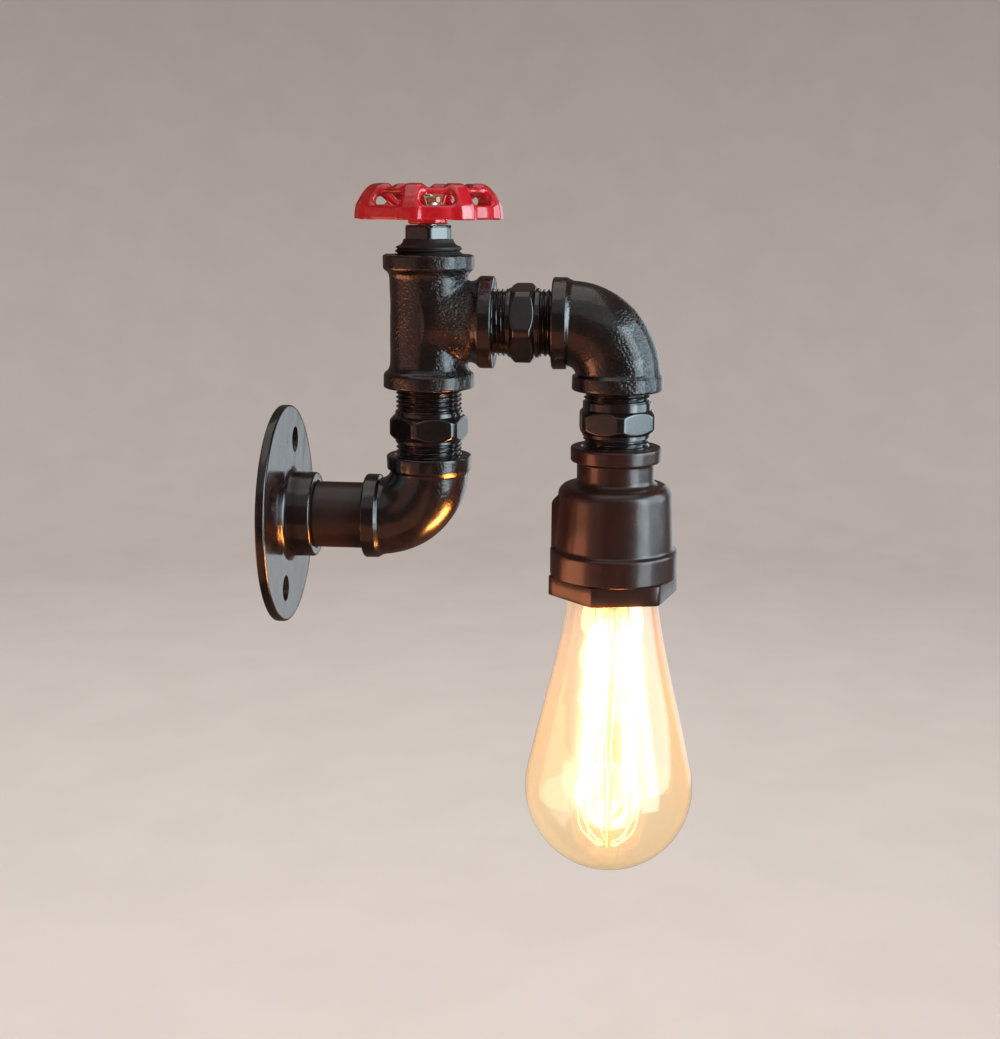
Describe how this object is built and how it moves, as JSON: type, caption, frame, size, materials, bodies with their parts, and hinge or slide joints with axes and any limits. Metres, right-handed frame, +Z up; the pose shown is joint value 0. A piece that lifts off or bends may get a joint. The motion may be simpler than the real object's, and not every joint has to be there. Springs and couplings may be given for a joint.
{
  "type": "pipe wall light",
  "caption": "Wall light made of threaded pipe fittings on a round flange, with a turning valve handwheel and a screw-in long-filament bulb in a bell reducer.",
  "frame": {"origin": "centre of the wall flange's back face, which is the wall plane", "axes": "+Y into the wall, -Y out of it along the flange's axis, +Z up along the riser; the lamp hangs along -Z"},
  "size_m": [0.0886, 0.1711, 0.2808],
  "materials": {
    "flange_paint": "satin",
    "pipe_paint": "satin",
    "casting_paint": "gloss",
    "nipple_paint": "gloss",
    "reducer_paint": "satin",
    "spindle_steel": "satin",
    "seal_rubber": "matte",
    "spring_steel": "satin",
    "red_enamel": "gloss",
    "zinc": "satin",
    "nut_brass": "satin",
    "white_ceramic": "gloss",
    "holder_brass": "satin",
    "live_insulation": "satin",
    "neutral_insulation": "satin",
    "earth_insulation": "satin",
    "cable_sheath": "matte",
    "amber_glass": "polished",
    "cap_metal": "satin",
    "black_glass": "gloss",
    "clear_glass": "polished",
    "filament": "satin",
    "support_wire": "satin"
  },
  "bodies": {
    "fixture": {"wall_flange": "flange_paint", "flange_nipple": "pipe_paint", "lower_elbow": "casting_paint", "riser_hex_nipple": "nipple_paint", "tee": "casting_paint", "arm_hex_nipple": "nipple_paint", "upper_elbow": "casting_paint", "drop_hex_nipple": "nipple_paint", "reducer": "reducer_paint", "hex_bush": "reducer_paint", "valve_bonnet": "nipple_paint", "stem_seal": "seal_rubber", "lampholder_body": "white_ceramic", "lampholder_shell": "holder_brass", "lampholder_contact": "holder_brass", "terminal_blocks": "holder_brass", "terminal_screws": "zinc", "live_core": "live_insulation", "neutral_core": "neutral_insulation", "earth_core": "earth_insulation", "cable_sheath": "cable_sheath"},
    "wheel": {"handwheel": "red_enamel", "wheel_washer": "zinc", "wheel_nut": "nut_brass", "valve_stem": "spindle_steel", "stem_clip": "spring_steel"},
    "end_contact": {"bulb_contact": "cap_metal"},
    "bulb": {"bulb_glass": "amber_glass", "bulb_cap": "cap_metal", "bulb_insulator": "black_glass", "bulb_stem": "clear_glass", "bulb_filament": "filament", "bulb_supports": "support_wire", "bulb_leads": "support_wire"}
  },
  "joints": [
    {"name": "wheel_turn", "type": "hinge", "parent": "fixture", "child": "wheel", "pos_m": [0, -0.0612, 0.1188], "axis": [0, 0, 1], "continuous": true},
    {"name": "bulb_travel", "type": "slide", "parent": "fixture", "child": "end_contact", "axis": [0, 0, -1], "range_m": [0, 0.0182]},
    {"name": "bulb_turn", "type": "hinge", "parent": "end_contact", "child": "bulb", "pos_m": [0, -0.1363, -0.024], "axis": [0, 0, -1], "range_deg": [0, 1800]}
  ],
  "couplings": [
    {"joint": "bulb_travel", "follows": "bulb_turn", "m_per_rad": 0.00057757}
  ]
}
